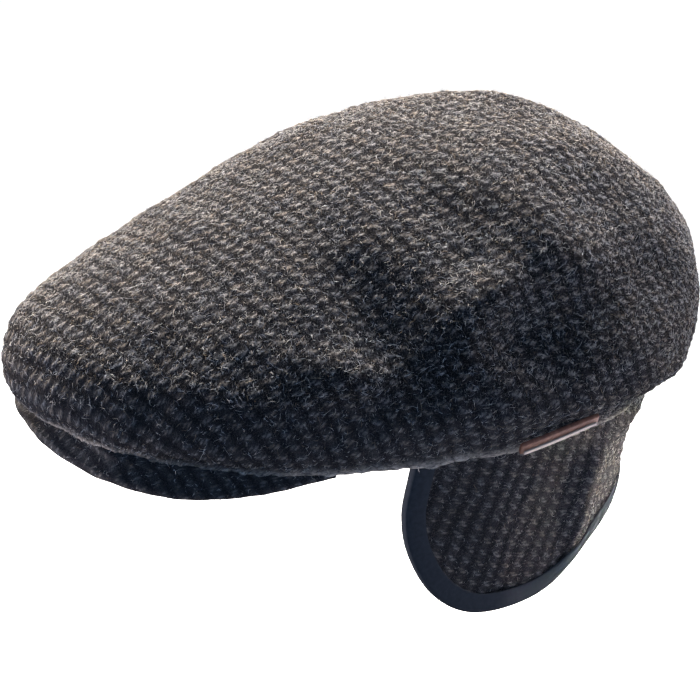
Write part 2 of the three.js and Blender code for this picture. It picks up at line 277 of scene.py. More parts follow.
def cells(places):
    """Cells of the weave at places on the flat cloth. Past the near side, the cells run on evenly."""
    along, across = places[..., 0] / THREAD_SPAN[0], places[..., 1] / THREAD_SPAN[1]
    near_along, near_across = np.clip(along, *NEAR_ALONG), np.clip(across, *NEAR_ACROSS)
    total = np.zeros(places.shape)
    for lengthways, crossways, *gain in THREADS:
        value = near_along ** lengthways * near_across ** crossways
        if lengthways:
            slope = lengthways * near_along ** (lengthways - 1) * near_across ** crossways
            value = value + (along - near_along) * slope
        if crossways:
            slope = crossways * near_along ** lengthways * near_across ** (crossways - 1)
            value = value + (across - near_across) * slope
        total += value[..., None] * np.array(gain)
    return total


# Length and height in mm of the waves in which the threads stray
THREAD_WAVES = [(45, 0.45), (13, 0.12)]


def stray(places):
    """The threads run a little unevenly: places on the cloth in mm, moved in slow waves."""
    deep = np.concatenate([places, np.zeros_like(places[..., :1])], -1)
    moved = [sum(lumps(deep, *wave) for wave in THREAD_WAVES) for axis in range(2)]
    return places + np.stack(moved, -1)


# Each cell of the weave shows two short bars of pale yarn, side by side and stepped: place in the cell,
# half length and half width in mm. The raised yarn is a little wider than its pale part
BARS = [((0.62, 0.42), (1.3, 0.62)), ((0.41, 0.66), (1.2, 0.56))]
RAISED_WIDER = 1.15


def weave_rise(places):
    """Raised parts of the weave, from 0 to 1, at places on the cloth."""
    cell = places / PITCH
    total = np.zeros(places.shape[:-1])
    for middle, half in BARS:
        within = (cell - np.array(middle) + 0.5) % 1 - 0.5
        total += np.exp(-((within * PITCH / (np.array(half) * RAISED_WIDER)) ** 2).sum(-1))
    return np.minimum(total, 1)


# The outer face: a bead along the hem with a groove above it, lumps, and the weave raised in the cloth
HEM_BEAD = {"rise": 0.8, "width": 2.2}
HEM_GROOVE = {"depth": 0.6, "place": 5.5, "width": 2.0}
CROWN_LUMPS = [(26, 0.3), (9, 0.1)]
WEAVE_RELIEF = 0.75
WEAVE_SUNK = 0.75
flat = stray(cells(flat) * PITCH)
bead = HEM_BEAD["rise"] * np.exp(-(spread / HEM_BEAD["width"]) ** 2)
bead = bead - HEM_GROOVE["depth"] * np.exp(-((spread - HEM_GROOVE["place"]) / HEM_GROOVE["width"]) ** 2)
plain = smooth_crown(turn, height)
uneven = sum(lumps(plain, *wave) for wave in CROWN_LUMPS)
outer = crown(turn, height, bead[:, None] + uneven + WEAVE_RELIEF * (weave_rise(flat) - WEAVE_SUNK))

# The inner face has fewer rows, so it lies deeper away from the hem, where it could show through a dent
INNER_ROWS = slice(6, None, 12)
INNER_FALL = 10
INNER_DEEPER = 2.8
inner_turn, inner_height = np.meshgrid(bearings, levels[INNER_ROWS])
inner_depth = CROWN_CLOTH + np.minimum(spread[INNER_ROWS] / INNER_FALL, INNER_DEEPER)
inner = crown(inner_turn, inner_height, np.zeros_like(inner_turn) - inner_depth[:, None])
inner_apex = apex - [0, 0, inner_depth[-1]]

# The hem's lip rolls from the inner face to the outer one
ROLL_TURNS = np.radians([180, 135, 90, 45])
ROLL_BELOW = 0.5
ROLL_STEP = 0.8
inner_hem = crown(turn[0], height[0], np.full(BEARINGS, -CROWN_CLOTH))
middle = (outer[0] + inner_hem) / 2
lip = (outer[0] - inner_hem) / 2
under = unit(outer[0] - outer[2]) * np.linalg.norm(lip, axis=-1, keepdims=True) * ROLL_BELOW
roll = np.stack([middle + lip * math.cos(angle) + under * math.sin(angle) for angle in ROLL_TURNS])
roll_steps = ROLL_STEP * np.arange(len(ROLL_TURNS), 0, -1)
flat_roll = flat[0] + unit(flat[0] - flat[2]) * roll_steps[:, None, None]

wall = np.concatenate([inner[::-1], roll, outer])
flat_wall = np.concatenate([flat[INNER_ROWS][::-1], flat_roll, flat])
flat_apex = flat[-1].mean(0)
crown_piece = cloth_mesh("crown_cloth", wall, flat_wall,
                         ends=[(inner_apex, flat_apex), (apex, flat_apex)])


def paint(piece, name, values):
    """A value at each point of a piece, for its material to read."""
    made = piece.data.attributes.new(name, "FLOAT", "POINT")
    made.data.foreach_set("value", np.asarray(values, np.float32))


# The lip is painted pale in streaks: a painted highlight where it catches the light
LIP_HIGHLIGHT_WIDTH = 2.6
# Low on the crown, where it lies in shade, a painted shade veil weakens the flecks and lifts the dark ground,
# and fewer fibres stand up
SHADE_VEIL = {"full_to": 14, "gone_at": 52}
VEIL_THINS_NAP = 0.6
lip_highlight_rows = np.concatenate([np.zeros(len(inner)), np.ones(len(roll)), np.exp(-(spread / LIP_HIGHLIGHT_WIDTH) ** 2)])
veil_fades_up = 1 - smooth_step(spread, SHADE_VEIL["full_to"], SHADE_VEIL["gone_at"])
shade_veil_rows = np.concatenate([np.ones(len(inner) + len(roll)), veil_fades_up])
paint(crown_piece, "lip_highlight", np.concatenate([np.repeat(lip_highlight_rows, BEARINGS), [0, 0]]))
paint(crown_piece, "shade_veil", np.concatenate([np.repeat(shade_veil_rows, BEARINGS), [1, 0]]))


def linear(code):
    """Linear colour from an sRGB hex code."""
    parts = [int(code[start:start + 2], 16) / 255 for start in (1, 3, 5)]
    return [part / 12.92 if part <= 0.04045 else ((part + 0.055) / 1.055) ** 2.4 for part in parts] + [1]


def add(kind, inputs, give=0, stops=(), **settings):
    """Adds a node to the material in hand, with its settings and links, and returns one of its outputs."""
    made = material.node_tree.nodes.new("ShaderNode" + kind)
    for key, value in settings.items():
        setattr(made, key, value)
    for index, (place, code) in enumerate(stops):
        made_stops = made.color_ramp.elements
        stop = made_stops[index] if index < 2 else made_stops.new(place)
        stop.position = place
        stop.color = linear(code)
    for socket, value in inputs.items():
        if isinstance(value, bpy.types.NodeSocket):
            material.node_tree.links.new(value, made.inputs[socket])
        else:
            made.inputs[socket].default_value = value
    return made.outputs[give] if made.outputs else made


def new_material(name):
    made = bpy.data.materials.new(name)
    made.use_nodes = True
    made.node_tree.nodes.clear()
    return made


# Wool tweed: stepped bars of pale woollen yarn on a dark ground, brushed until the fibres stand up. The eye
# sees soft flecks in crooked rows, with no shine. The UV map is in mm, and tufts of wool ruffle the rows
TUFT = 5 / 3
material = tweed = new_material("wool_tweed")
cloth = add("UVMap", {}, uv_map="cloth")
ruffle = add("TexNoise", {"Vector": cloth, "Scale": 1 / TUFT, "Detail": 3.0, "Roughness": 0.6}, give="Color")
ruffle = add("VectorMath", {0: ruffle, 1: (0.5, 0.5, 0.5)}, operation="SUBTRACT")
ruffled = add("VectorMath", {0: ruffle, 1: (1.3, 1.1, 0), 2: cloth}, operation="MULTIPLY_ADD")
cell = add("VectorMath", {0: ruffled, 1: (*PITCH, 1)}, operation="DIVIDE")
which = add("VectorMath", {0: cell}, operation="FLOOR")
luck = add("TexWhiteNoise", {"Vector": which}, give="Color", noise_dimensions="2D")
within = add("VectorMath", {0: cell}, operation="FRACTION")

# Fibres: streaks that cross, three of tufts and three of single fibres, which are drawn coarser than real
# ones so that they show. Angle, start, and streaks to the mm
STREAKS = [
    (28, 0.0, 1.4),
    (-47, 40.0, 1.6),
    (75, 90.0, 1.8),
    (8, 130.0, 3.0),
    (-62, 170.0, 3.3),
    (50, 210.0, 2.7),
]
streaks = []
for angle, start, fine in STREAKS:
    run = add("VectorRotate", {"Vector": cloth, "Angle": math.radians(angle)}, rotation_type="Z_AXIS")
    run = add("VectorMath", {0: run, 1: (fine / 4, fine, 1), 2: (start, start, 0)}, operation="MULTIPLY_ADD")
    streak = add("TexNoise", {"Vector": run, "Scale": 1.0, "Detail": 3.0, "Roughness": 0.65,
                              "Distortion": 1.1}, give="Fac")
    streaks.append(streak)
fuzz = add("Math", {0: streaks[0], 1: streaks[1]}, operation="MAXIMUM")
fuzz = add("Math", {0: fuzz, 1: streaks[2]}, operation="MAXIMUM")
fuzz = add("MapRange", {"Value": fuzz, "From Min": 0.48, "From Max": 0.72}, interpolation_type="SMOOTHSTEP")
# Painted shade veil: the fuzz is evened out where the cap lies in shade
shade_veil = add("Attribute", {}, give="Fac", attribute_name="shade_veil")
calm = add("Math", {0: shade_veil, 1: 0.45}, operation="MULTIPLY")
even = add("Math", {0: 0.5, 1: fuzz}, operation="SUBTRACT")
fuzz = add("Math", {0: even, 1: calm, 2: fuzz}, operation="MULTIPLY_ADD")
thin = add("Math", {0: streaks[3], 1: streaks[4]}, operation="MAXIMUM")
thin = add("MapRange", {"Value": thin, "From Min": 0.56, "From Max": 0.65}, interpolation_type="SMOOTHSTEP")
pit = add("MapRange", {"Value": streaks[5], "From Min": 0.56, "From Max": 0.42},
          interpolation_type="SMOOTHSTEP")

# Bars of pale yarn, with edges that the fuzz breaks up
bars = []
for middle, half in BARS:
    bar = add("VectorMath", {0: within, 1: (*middle, 0)}, operation="SUBTRACT")
    bar = add("VectorMath", {0: bar, 1: (PITCH[0] / half[0], PITCH[1] / half[1], 0)}, operation="MULTIPLY")
    bar = add("VectorMath", {0: bar}, give="Value", operation="LENGTH")
    bar = add("Math", {0: fuzz, 1: -0.6, 2: bar}, operation="MULTIPLY_ADD")
    bar = add("MapRange", {"Value": bar, "From Min": 1.25, "From Max": -0.05},
              interpolation_type="SMOOTHSTEP")
    bars.append(bar)
second = add("Math", {0: bars[1], 1: 0.75}, operation="MULTIPLY")
fleck = add("Math", {0: bars[0], 1: second}, operation="MAXIMUM")

# The dark yarn shows between the bars, and a greyer band joins them from row to row
band = add("VectorMath", {0: within, 1: (0.52, 0.54, 0)}, operation="SUBTRACT")
band = add("VectorMath", {0: band}, operation="ABSOLUTE")
band = add("SeparateXYZ", {0: band}, give="X")
band = add("MapRange", {"Value": band, "From Min": 0.42, "From Max": 0.12}, interpolation_type="SMOOTHSTEP")
ground = add("Math", {0: fuzz, 1: 0.5, 2: 0.15}, operation="MULTIPLY_ADD")
ground = add("Math", {0: band, 1: 0.28, 2: ground}, operation="MULTIPLY_ADD")
# Painted shade veil: the dark ground is lifted where the cap lies in shade
ground = add("Math", {0: shade_veil, 1: 0.26, 2: ground}, operation="MULTIPLY_ADD")
ground = add("ValToRGB", {"Fac": ground},
             stops=[(0.0, "#0a0a0c"), (0.35, "#151517"), (0.7, "#2b2a2c"), (1.0, "#403f3f")])

# The yarns differ: each row and column is dyed a little lighter or darker, and each fleck has its own tint
row = add("SeparateXYZ", {0: which}, give="X")
column = add("SeparateXYZ", {0: which}, give="Y")
row = add("TexWhiteNoise", {"W": row}, give="Value", noise_dimensions="1D")
column = add("Math", {0: column, 1: 0.37}, operation="ADD")
column = add("TexWhiteNoise", {"W": column}, give="Value", noise_dimensions="1D")
dye = add("Math", {0: row, 1: column}, operation="ADD")
dye = add("Math", {0: dye, 1: 0.3, 2: 0.7}, operation="MULTIPLY_ADD")
tint = add("SeparateXYZ", {0: luck}, give="Z")
tint = add("Math", {0: tint, 1: 0.6, 2: streaks[4]}, operation="MULTIPLY_ADD")
tint = add("Math", {0: tint, 1: 0.3}, operation="SUBTRACT", use_clamp=True)
yarn = add("ValToRGB", {"Fac": tint},
           stops=[(0.0, "#b2a99e"), (0.22, "#959699"), (0.4, "#bab2a9"),
                  (0.58, "#9d8f80"), (0.75, "#9b9c9f"), (1.0, "#c0b9b0")])

# Flecks on the ground, weakened by a painted shade veil where the cap lies in shade
shown = add("Math", {0: shade_veil, 1: -0.42, 2: 1.0}, operation="MULTIPLY_ADD")
strength = add("Math", {0: fuzz, 1: 0.65, 2: 0.35}, operation="MULTIPLY_ADD")
strength = add("Math", {0: strength, 1: shown}, operation="MULTIPLY")
strength = add("Math", {0: strength, 1: fleck}, operation="MULTIPLY")
strength = add("Math", {0: strength, 1: dye}, operation="MULTIPLY", use_clamp=True)
colour = add("Mix", {"Factor": strength, "A": ground, "B": yarn}, give=2, data_type="RGBA")

# Loose pale fibres over all of it, and painted shade in the pits between them
loose = add("Math", {0: thin, 1: 0.38}, operation="MULTIPLY")
loose = add("Math", {0: loose, 1: shown}, operation="MULTIPLY")
hair = add("Mix", {"Factor": loose, "A": colour, "B": yarn}, give=2, data_type="RGBA")
pit_shade = add("Math", {0: pit, 1: 0.42}, operation="MULTIPLY")
pit_shade = add("Math", {0: pit_shade, 1: shown}, operation="MULTIPLY")
hair = add("Mix", {"Factor": pit_shade, "A": hair, "B": linear("#060608")}, give=2, data_type="RGBA")
# A painted highlight: the hem's lip painted pale in streaks, where it catches the light
lip_lit = add("Attribute", {}, give="Fac", attribute_name="lip_highlight")
lip_streaks = add("Math", {0: streaks[0], 1: 3.4, 2: -1.05}, operation="MULTIPLY_ADD")
lip_lit = add("Math", {0: lip_lit, 1: lip_streaks}, operation="MULTIPLY", use_clamp=True)
hair = add("Mix", {"Factor": lip_lit, "A": hair, "B": linear("#b3aba0")}, give=2, data_type="RGBA")

# The fibres' own relief, finer than the mesh
relief = add("Math", {0: fleck, 1: 0.6}, operation="MULTIPLY")
relief = add("Math", {0: fuzz, 1: 0.45, 2: relief}, operation="MULTIPLY_ADD")
relief = add("Math", {0: thin, 1: 0.5, 2: relief}, operation="MULTIPLY_ADD")
relief = add("Math", {0: pit, 1: -0.4, 2: relief}, operation="MULTIPLY_ADD")
brushed = add("Bump", {"Strength": 1.0, "Distance": 1.6 * MM, "Height": relief})
finish = add("BsdfPrincipled", {"Base Color": hair, "Roughness": 1.0, "Specular IOR Level": 0.0,
                                "Sheen Weight": 0.02, "Sheen Roughness": 0.45,
                                "Sheen Tint": linear("#d8cdc0"), "Normal": brushed})
add("OutputMaterial", {"Surface": finish})
crown_piece.data.materials.append(tweed)
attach(crown_piece, "root")
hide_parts("crown")

# Loose wools: matt fibres of the tweed's own yarns, which soften its outline. Name, colour, share of the nap
WOOLS = [
    ("pale_wool", "#bdb8b0", 0.5),
    ("grey_wool", "#848588", 0.2),
    ("tan_wool", "#8f7f6a", 0.15),
    ("dark_wool", "#29292c", 0.15),
]
wools = []
for name, code, _ in WOOLS:
    material = new_material(name)
    finish = add("BsdfPrincipled", {"Base Color": linear(code), "Roughness": 1.0, "Specular IOR Level": 0.0})
    add("OutputMaterial", {"Surface": finish})
    wools.append(material)

# A fibre's half thickness, which is coarser than real wool so that it shows, and how far its root is sunk;
# the corners round its bend; how much it swings aside and varies in length; the slopes of its two halves
FIBRE = 0.055
FIBRE_SUNK = 0.15
FIBRE_CORNERS = (0, 2.1, 4.2)
FIBRE_SWING = 1.1
FIBRE_VARIES = 0.4
FIBRE_RISES = (0.1, 0.6)
FIBRE_TURNS = (-0.3, 0.3)
FIBRE_FACES = np.array([(0, 2, 1), (0, 3, 2), (0, 1, 3), (1, 2, 4), (2, 3, 4), (3, 1, 4)])


def nap(name, grid, count, reach, bare=0):
    """Loose wool fibres brushed up from a cloth: thin closed spindles with one bend, each about reach mm
    long. None grow where bare is 1."""
    low, high = grid[:-1, :-1], grid[1:, 1:]
    up, across = grid[1:, :-1], grid[:-1, 1:]
    normal = np.cross(across - up, high - low).reshape(-1, 3)
    area = np.linalg.norm(normal, axis=1) * (1.0 - np.broadcast_to(bare, grid.shape[:2])[1:, 1:].ravel())
    pick = chance.choice(len(area), count, p=area / area.sum())
    u, v = chance.random((2, count, 1))
    corners = [part.reshape(-1, 3)[pick] for part in (low, across, up, high)]
    base = (corners[0] * (1 - u) + corners[1] * u) * (1 - v) + (corners[2] * (1 - u) + corners[3] * u) * v
    normal = unit(normal[pick])
    lie = unit(np.cross(normal, unit(chance.normal(size=(count, 3)))))
    aside = np.cross(normal, lie)
    swing = unit(lie + aside * chance.normal(0, FIBRE_SWING, (count, 1)))
    length = reach * chance.lognormal(0, FIBRE_VARIES, (count, 1))
    bend = base + length * 0.5 * unit(lie + normal * chance.uniform(*FIBRE_RISES, (count, 1)))
    tip = bend + length * 0.5 * unit(swing + normal * chance.uniform(*FIBRE_TURNS, (count, 1)))
    ring = [bend + (aside * math.cos(angle) + normal * math.sin(angle)) * FIBRE for angle in FIBRE_CORNERS]
    points = np.stack([base - normal * FIBRE_SUNK, *ring, tip], 1)
    faces = (FIBRE_FACES + points.shape[1] * np.arange(count)[:, None, None]).reshape(-1, 3)
    mesh = bpy.data.meshes.new(name)
    mesh.from_pydata((points.reshape(-1, 3) * MM).tolist(), [], faces.tolist())
    for wool in wools:
        mesh.materials.append(wool)
    kind = chance.choice(len(WOOLS), count, p=[share for _, _, share in WOOLS])
    mesh.polygons.foreach_set("material_index", np.repeat(kind, len(FIBRE_FACES)).astype(np.int32))
    piece = bpy.data.objects.new(name, mesh)
    scene.collection.objects.link(piece)
    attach(piece, "root")


sparse = VEIL_THINS_NAP * shade_veil_rows[len(inner):, None]
nap("crown_nap_1", wall[len(inner):], count=22000, reach=2.5, bare=sparse)
nap("crown_nap_2", wall[len(inner):], count=22000, reach=1.7, bare=sparse)

# Peak
# The short stiff visor under the crown's front lip: board covered with tweed on both faces. It shows
# as a dark crescent that droops at the front, with the cloth wrapped round its edge.

SEAM_GAP = 0.3
PEAK_THICKNESS = 3.7
PEAK_THINNED = 0.35
PEAK_NOSE = 1.4
PEAK_EDGE = np.array([
    # out past the hem, drop below it; from the middle to the corner
    [-1.7, 7.2],
    [-0.6, 7.5],
    [6.6, 5.8],
    [8, 5.7],
    [4.4, 2.6],
    [-4.5, 0],
])
PEAK_REACH = math.radians(67.5)
PEAK_BROW = np.array([-95, 4])
PEAK_CORNER = np.array([72, -68])
PEAK_BELOW_HEM = SEAM_GAP + 0.2
PEAK_TUCK = 1
PEAK_LUMPS = (12, 0.12)
PEAK_SHADE_VEIL = 1.3
PEAK_STATIONS = 321
HIDDEN_ROWS = 24
SHOWN_ROWS = 22

share = np.linspace(0, 1, PEAK_STATIONS)
bearing = PEAK_REACH * (2 * share - 1)
edge_rows = np.vstack([PEAK_EDGE[::-1], PEAK_EDGE[1:]])
past, drop = follow(edge_rows, share * (len(edge_rows) - 1)).T
at_hem = np.zeros_like(bearing)
hem = smooth_crown(bearing, at_hem)
round_hem = smooth_crown(bearing + NUDGE, at_hem) - smooth_crown(bearing - NUDGE, at_hem)
outward = unit(np.stack([round_hem[:, 1], -round_hem[:, 0], np.zeros_like(bearing)], -1))
backward = (1 - np.cos(bearing)) / (1 - math.cos(PEAK_REACH))
brow = np.stack([PEAK_CORNER[0] * np.sin(bearing) / math.sin(PEAK_REACH),
                 PEAK_BROW[0] + (PEAK_CORNER[1] - PEAK_BROW[0]) * backward,
                 PEAK_BROW[1] * (1 - backward)], -1)
down = np.array([0, 0, -1.0])
below = hem + outward * np.minimum(0, past - PEAK_TUCK - drop)[:, None] + down * PEAK_BELOW_HEM
edge = hem + outward * past[:, None] + (PEAK_BELOW_HEM + drop)[:, None] * down

# The top runs from the brow to the line below the hem and on to the edge; the nose turns under it
guides = np.stack([brow, (brow + below) / 2, below, (below + edge) / 2, edge], 0)
steps = np.concatenate([np.linspace(0, 2, HIDDEN_ROWS, endpoint=False), np.linspace(2, 4, SHOWN_ROWS)])
top = follow(guides.reshape(len(guides), -1), steps).reshape(len(steps), PEAK_STATIONS, 3).swapaxes(0, 1)
thick = (PEAK_THICKNESS * (1 - PEAK_THINNED * np.abs(2 * share - 1) ** 4))[:, None]
nose = np.stack([edge + down * thick / 2 * (1 - math.cos(angle)) + outward * PEAK_NOSE * math.sin(angle)
                 for angle in np.radians([30, 60, 90, 120, 150])], 1)
bottom = top[:, ::-3] + down * thick[:, None]
peak_grid = np.concatenate([top, nose, bottom], 1)
peak_grid = peak_grid + lumps(peak_grid, *PEAK_LUMPS)[..., None] * down
walk = run_length(peak_grid)
walk = (walk - walk[:, HIDDEN_ROWS:HIDDEN_ROWS + 1])[..., None] * outward[:, None, 1::-1]
peak_flat = stray(below[:, None, 1::-1] + walk)


def middles(grid, flat):
    """The points that close a grid's first and last row: the middle of each, and its place on the cloth."""
    return [(grid[row].mean(0), flat[row].mean(0)) for row in (0, -1)]


peak_piece = cloth_mesh("peak_cloth", peak_grid, peak_flat, ends=middles(peak_grid, peak_flat))
peak_piece.data.materials.append(tweed)
# A painted shade veil over the whole peak, which lies in shade under the lip
paint(peak_piece, "shade_veil", np.full(len(peak_piece.data.vertices), PEAK_SHADE_VEIL))
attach(peak_piece, "root")
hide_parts("peak")
outer_rows = top.shape[1] + nose.shape[1] + 1
nap("peak_nap", peak_grid[:, :outer_rows], count=1400, reach=1.6)

# Ear flap
# One strip of doubled tweed from temple to temple round the nape, let down. It hangs from inside the
# crown's hem, is deepest over the ears, and rolls outward where it turns under the hem at the back.

FLAP_CLOTH = 2.4
FLAP_EDGE = np.array([
    # along the root, along the free edge, depth of the free edge; from the left temple to the nape
    [189, 192, -11],
    [187, 193.5, 8],
    [183, 193.5, 24],
    [176, 188, 41],
    [165, 175, 59],
    [150, 157, 70],
    [131, 135, 72.5],
    [108, 110, 69.2],
    [87, 88, 57.8],
    [64, 64, 50.3],
    [32, 32, 46],
    [0, 0, 45],
])
FLAP_ROOT_DEPTH = -16
FLAP_INSET = 3.6
FLAP_LEAN = math.radians(5.5)
FLAP_ROLL = {"rise": 2.6, "depth": 6, "width": 7, "full_to": 75, "gone_at": 105}
FLAP_CREASE = {"rise": 4.0, "place": 96, "slant": 0.08, "width": 9.5, "starts": (4, 18), "fades": (42, 68)}
RIM_STEPS = 4001
flap_rows = np.vstack([FLAP_EDGE, FLAP_EDGE[-2::-1] * [-1, -1, 1]])


def rim_line(bearing):
    """The line inside the hem that the flap hangs from, seen from above."""
    front, back_end, half, _, _, egg, _, _ = CROWN_SECTIONS[0]
    front, back_end = front + FLAP_INSET, back_end - FLAP_INSET
    x = (half - FLAP_INSET) * np.sin(bearing) * (1 - egg * np.cos(bearing))
    y = (front + back_end) / 2 - (back_end - front) / 2 * np.cos(bearing)
    return np.stack([x, y, np.zeros_like(x)], -1)


rim_bearings = np.linspace(0, 2 * math.pi, RIM_STEPS)
rim_reach = run_length(rim_line(rim_bearings))


def flap_wall(along, depth, out):
    """Points of the hanging flap: along the rim from the nape, down from the rim, out from its face."""
    bearing = np.interp(rim_reach[-1] / 2 - along, rim_reach, rim_bearings)
    run = unit(rim_line(bearing + NUDGE / 10) - rim_line(bearing - NUDGE / 10))
    outward = np.stack([run[..., 1], -run[..., 0], np.zeros_like(along)], -1)
    at_back = 1 - smooth_step(np.abs(along), FLAP_ROLL["full_to"], FLAP_ROLL["gone_at"])
    roll = FLAP_ROLL["rise"] * at_back * np.exp(-((depth - FLAP_ROLL["depth"]) / FLAP_ROLL["width"]) ** 2)
    aside = np.abs(along) - FLAP_CREASE["place"] - FLAP_CREASE["slant"] * depth
    crease = FLAP_CREASE["rise"] * np.exp(-(aside / FLAP_CREASE["width"]) ** 2)
    crease = crease * smooth_step(depth, *FLAP_CREASE["starts"])
    crease = crease * (1 - smooth_step(depth, *FLAP_CREASE["fades"]))
    push = out + roll + crease - depth * math.sin(FLAP_LEAN)
    points = rim_line(bearing) + outward * push[..., None]
    points[..., 2] -= depth * math.cos(FLAP_LEAN)
    return points


# Cells of the weave for each mm along the flap and down it, because its cloth was cut askew
GRAIN_ALONG = np.array([-0.127, -0.055])
GRAIN_DOWN = np.array([0.025, -0.205])
FLAP_STATIONS = 401
FRONT_ROWS = 72
BACK_ROWS = 25
FLAP_RELIEF = 0.55
FLAP_SUNK = 0.6
FLAP_LUMPS = [(22, 0.3), (8, 0.1)]
FLAP_SHADE_VEIL = 0.9

share = np.linspace(0, 1, FLAP_STATIONS)
root, edge_along, edge_depth = follow(flap_rows, share * (len(flap_rows) - 1)).T
part = np.concatenate([np.linspace(0, 1, FRONT_ROWS), np.linspace(1, 0, BACK_ROWS)])
face = np.concatenate([np.zeros(FRONT_ROWS), np.full(BACK_ROWS, -FLAP_CLOTH)])
along = root[:, None] + (edge_along - root)[:, None] * part
depth = FLAP_ROOT_DEPTH + (edge_depth - FLAP_ROOT_DEPTH)[:, None] * part
plain = flap_wall(along, depth, np.zeros_like(along))
flap_flat = stray((along[..., None] * GRAIN_ALONG + depth[..., None] * GRAIN_DOWN) * PITCH)
raised = FLAP_RELIEF * (weave_rise(flap_flat) - FLAP_SUNK) * np.where(face < 0, -1, 1)
uneven = sum(lumps(plain, *wave) for wave in FLAP_LUMPS)
flap_grid = flap_wall(along, depth, face + raised + uneven)
flap_piece = cloth_mesh("ear_flap_cloth", flap_grid, flap_flat, ends=middles(flap_grid, flap_flat))
flap_piece.data.materials.append(tweed)
# A painted shade veil over the whole flap, which hangs in shade under the hem
paint(flap_piece, "shade_veil", np.full(len(flap_piece.data.vertices), FLAP_SHADE_VEIL))
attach(flap_piece, "root")
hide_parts("ear_flap")

# The nap grows on the outer face below the hem, and not where the binding covers it
NAP_ROWS = slice(14, 70)
BOUND = 8.4
free_edge = edge_along + 1j * edge_depth
spots = (along + 1j * depth)[:, NAP_ROWS]
from_edge = np.stack([np.abs(spot[:, None] - free_edge).min(1) for spot in spots.T], 1)
nap("ear_flap_nap", flap_grid[:, NAP_ROWS], count=2600, reach=1.6, bare=from_edge < BOUND)

# Flap binding
# A woven tape, plain and nearly black, that keeps the flap's cut edge from fraying. It is folded over
# the free edge from temple to temple and sewn through the cloth.

TAPE_WIDTH = 8.0
TAPE_THICKNESS = 0.8
TAPE_STATIONS = 601
TAPE_STARTS = 0.004
TAPE_ROUND = 0.25
TAPE_FLAT_FROM = 0.6
TAPE_BULGE = {"front": 0.22, "back": 0.15}
TAPE_ROWS = {"front": 12, "fold": 9, "back": 8}
FOLD_CLEAR = {"inside": 0.2, "edge": 0.7 * SEAM_GAP, "front": 1.0}
share = TAPE_STARTS + (1 - 2 * TAPE_STARTS) * np.linspace(0, 1, TAPE_STATIONS)
step = share * (len(flap_rows) - 1)
edge_place = follow(flap_rows[:, 1:], step)
edge_run = unit(follow(flap_rows[:, 1:], step + NUDGE) - follow(flap_rows[:, 1:], step - NUDGE))
inward = np.stack([-edge_run[:, 1], edge_run[:, 0]], -1)

# The tape's section: in from the flap's edge, and out from the flap's front face
skin = SEAM_GAP + TAPE_THICKNESS
half_cloth = FLAP_CLOTH / 2
half_tape = TAPE_THICKNESS / 2
selvedge = [(TAPE_WIDTH - TAPE_ROUND + TAPE_ROUND * math.cos(angle),
             SEAM_GAP + half_tape + half_tape * math.sin(angle)) for angle in np.radians([-60, -20, 20, 60])]
front_face = [(place, skin + TAPE_BULGE["front"] * math.sin(math.pi * place / TAPE_WIDTH))
              for place in np.linspace(TAPE_WIDTH - TAPE_FLAT_FROM, TAPE_FLAT_FROM, TAPE_ROWS["front"])]
folded = [(-skin * math.cos(angle), -half_cloth + (half_cloth + skin) * math.sin(angle))
          for angle in np.radians(np.linspace(80, -80, TAPE_ROWS["fold"]))]
back_face = [(place, -FLAP_CLOTH - skin - TAPE_BULGE["back"] * math.sin(math.pi * place / TAPE_WIDTH))
             for place in np.linspace(TAPE_FLAT_FROM, TAPE_WIDTH, TAPE_ROWS["back"])]
inside = [(TAPE_WIDTH, -FLAP_CLOTH - SEAM_GAP),
          (FOLD_CLEAR["inside"], -FLAP_CLOTH - SEAM_GAP),
          (-FOLD_CLEAR["edge"], -FLAP_CLOTH),
          (-FOLD_CLEAR["edge"], 0),
          (FOLD_CLEAR["inside"], SEAM_GAP),
          (TAPE_WIDTH - FOLD_CLEAR["front"], SEAM_GAP)]
section = np.array(selvedge + front_face + folded + back_face + inside)
tape_place = edge_place[:, None] + inward[:, None] * section[:, :1]
tape_out = np.broadcast_to(section[:, 1], tape_place.shape[:2])
tape_grid = flap_wall(tape_place[..., 0], tape_place[..., 1], tape_out)
tape_flat = np.stack(np.broadcast_arrays(run_length(edge_place)[:, None], run_length(section)), -1)
tape_piece = cloth_mesh("flap_binding_tape", tape_grid, tape_flat, ends=middles(tape_grid, tape_flat))

# Woven tape: matt and nearly black, with fine ribs across it and a face that has faded in patches
RIB = 0.7
FADED_PATCH = 2.0
material = tape = new_material("woven_tape")
cloth = add("UVMap", {}, uv_map="cloth")
along_tape = add("SeparateXYZ", {0: cloth}, give="X")
rib = add("Math", {0: along_tape, 1: 2 * math.pi / RIB}, operation="MULTIPLY")
rib = add("Math", {0: rib}, operation="SINE")
faded = add("TexNoise", {"Vector": cloth, "Scale": 1 / FADED_PATCH, "Detail": 3.0}, give="Fac")
rib = add("Math", {0: rib, 1: 0.3, 2: faded}, operation="MULTIPLY_ADD")
shade = add("ValToRGB", {"Fac": faded}, stops=[(0.3, "#242628"), (0.7, "#2a2c2f")])
ribbed = add("Bump", {"Strength": 0.4, "Distance": 0.15 * MM, "Height": rib})
finish = add("BsdfPrincipled", {"Base Color": shade, "Roughness": 1.0, "Specular IOR Level": 0.0,
                                "Normal": ribbed})
add("OutputMaterial", {"Surface": finish})
tape_piece.data.materials.append(tape)
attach(tape_piece, "root")
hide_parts("flap_binding")

# Label patch
# A narrow strip of brown leather on the crown's side, just above the hem on the wearer's left. It is cut
# from thin hide with its edges rounded, follows the bulge of the cloth, and stands out a little at its foot.

LABEL_BEARING = math.radians(105.1)
LABEL_LEVEL = 0.77
